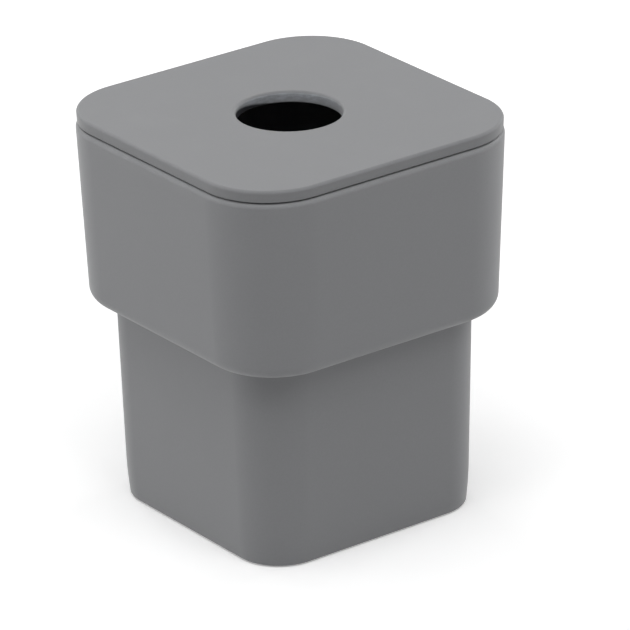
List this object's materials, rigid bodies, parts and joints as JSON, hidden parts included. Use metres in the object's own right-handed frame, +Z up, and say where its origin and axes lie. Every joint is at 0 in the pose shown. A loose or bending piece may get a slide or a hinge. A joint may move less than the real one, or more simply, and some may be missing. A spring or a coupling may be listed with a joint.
{
  "type": "lidded canister",
  "caption": "Square bathroom canister with rounded corners, a shell that steps in to a narrower lower block, and a lift-off lid with a round finger hole.",
  "frame": {"origin": "under the middle of the canister, on the surface that it stands on", "axes": "+Z up, the front is -Y; the four sides face X and Y"},
  "size_m": [0.1012, 0.1012, 0.1212],
  "materials": {
    "shell_plastic": "neutral grey moulded plastic, matte and smooth, soft to the touch",
    "lid_plastic": "neutral grey moulded plastic, matte and smooth, a little darker than the shell",
    "pad_rubber": "dark matte rubber"
  },
  "bodies": {
    "canister": {"canister_body": "shell_plastic", "foot_pad_back_right": "pad_rubber", "foot_pad_back_left": "pad_rubber", "foot_pad_front_left": "pad_rubber", "foot_pad_front_right": "pad_rubber"},
    "lid": {"lid": "lid_plastic"}
  },
  "joints": [
    {"name": "lid_lift", "type": "slide", "parent": "canister", "child": "lid", "axis": [0, 0, 1], "range_m": [0, 0.04]}
  ]
}
